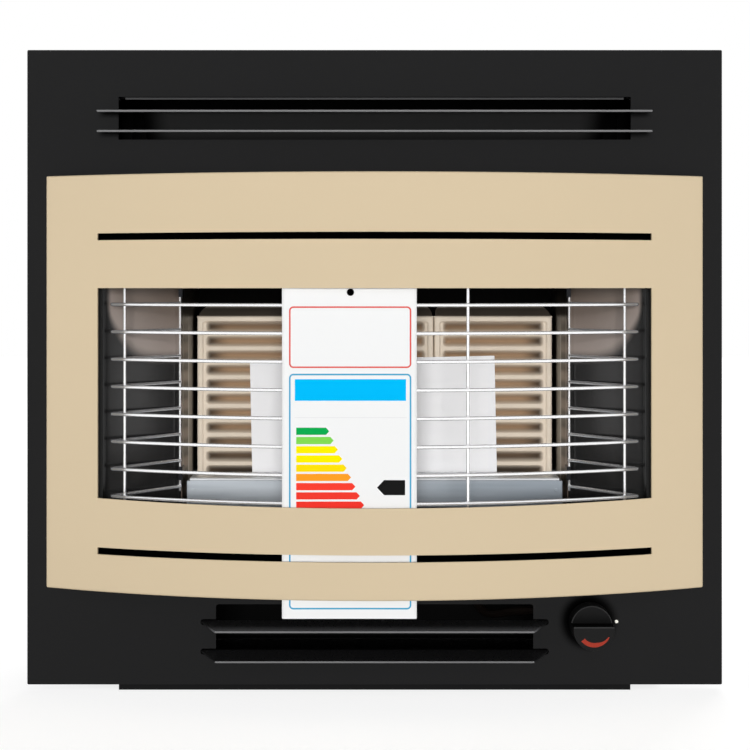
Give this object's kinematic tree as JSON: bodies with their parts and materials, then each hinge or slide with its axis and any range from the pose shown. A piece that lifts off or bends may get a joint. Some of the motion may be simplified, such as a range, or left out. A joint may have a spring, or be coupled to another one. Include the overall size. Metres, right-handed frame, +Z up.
{
  "type": "gas fire",
  "caption": "Radiant gas fire: black surround plate, bowed front panel with a wire guard over ceramic radiants, louvred warm air case, burner, flue spigot and a push-and-turn knob.",
  "frame": {"origin": "middle of the footprint, on the surface that the plinth stands on", "axes": "+Z up, -Y towards the room (the front of the fire), +X to the right as seen from the room"},
  "size_m": [0.6, 0.273, 0.553],
  "materials": {
    "satin_black": "satin black stove enamel",
    "champagne": "satin champagne paint",
    "chrome_wire": "bright plated wire",
    "polished_steel": "polished sheet",
    "zinc_steel": "zinc plated sheet",
    "fired_clay": "matt fired clay",
    "black_plastic": "moulded satin black",
    "brass_alloy": "machined",
    "copper_pipe": "drawn copper tube",
    "white_card": "coated white card",
    "grey_paper": "plastic envelope round paper booklets",
    "white_paint": "white enamel",
    "white_ceramic": "glazed insulator"
  },
  "bodies": {
    "casing": {"surround_plate": "satin_black", "case_left_panel": "satin_black", "case_right_panel": "satin_black", "plinth_tray": "satin_black", "case_floor": "satin_black", "case_roof": "satin_black", "case_back_panel": "satin_black", "outlet_hood": "satin_black", "outlet_louvre_lower": "satin_black", "outlet_louvre_upper": "satin_black", "intake_louvre_lower": "satin_black", "intake_louvre_upper": "satin_black", "firebox_floor": "satin_black", "firebox_canopy": "satin_black", "firebox_back": "satin_black", "radiant_baffle": "satin_black", "dress_guard": "chrome_wire", "reflector_left": "polished_steel", "reflector_right": "polished_steel", "cheek_left": "polished_steel", "cheek_right": "polished_steel", "guard_clip_left_lower": "polished_steel", "guard_clip_left_upper": "polished_steel", "guard_clip_right_lower": "polished_steel", "guard_clip_right_upper": "polished_steel", "thermocouple": "polished_steel", "wall_flange_left": "zinc_steel", "wall_flange_right": "zinc_steel", "panel_hook_left_lower": "zinc_steel", "panel_hook_left_upper": "zinc_steel", "panel_hook_right_lower": "zinc_steel", "panel_hook_right_upper": "zinc_steel", "radiant_rail": "zinc_steel", "burner_bar": "zinc_steel", "venturi_tube": "zinc_steel", "burner_shield": "zinc_steel", "valve_bracket": "zinc_steel", "pilot_bracket": "zinc_steel", "flue_spigot": "zinc_steel", "radiant_left": "fired_clay", "radiant_centre": "fired_clay", "radiant_right": "fired_clay", "gas_injector": "brass_alloy", "gas_valve_body": "brass_alloy", "inlet_coupling": "brass_alloy", "pilot_burner": "brass_alloy", "supply_pipe": "copper_pipe", "feed_pipe": "copper_pipe", "thermocouple_lead": "copper_pipe", "swing_tag": "white_card", "envelope": "grey_paper", "index_dot": "white_paint", "spark_electrode": "white_ceramic"},
    "front_panel": {"front_panel": "champagne", "panel_rail_left": "zinc_steel", "panel_rail_right": "zinc_steel"},
    "valve_plug": {"valve_plug": "brass_alloy"},
    "control": {"control_knob": "black_plastic", "knob_spindle": "brass_alloy", "return_spring": "polished_steel"}
  },
  "joints": [
    {"name": "panel_lift", "type": "slide", "parent": "casing", "child": "front_panel", "axis": [0, 0, 1], "range_m": [0, 0.01]},
    {"name": "knob_turn", "type": "hinge", "parent": "casing", "child": "valve_plug", "pos_m": [0.1846, -0.0675, 0.0595], "axis": [0, -1, 0], "range_deg": [0, 150]},
    {"name": "knob_push", "type": "slide", "parent": "valve_plug", "child": "control", "axis": [0, 1, 0], "range_m": [0, 0.004], "stiffness_N_per_m": 500, "deforming": ["return_spring"]}
  ]
}
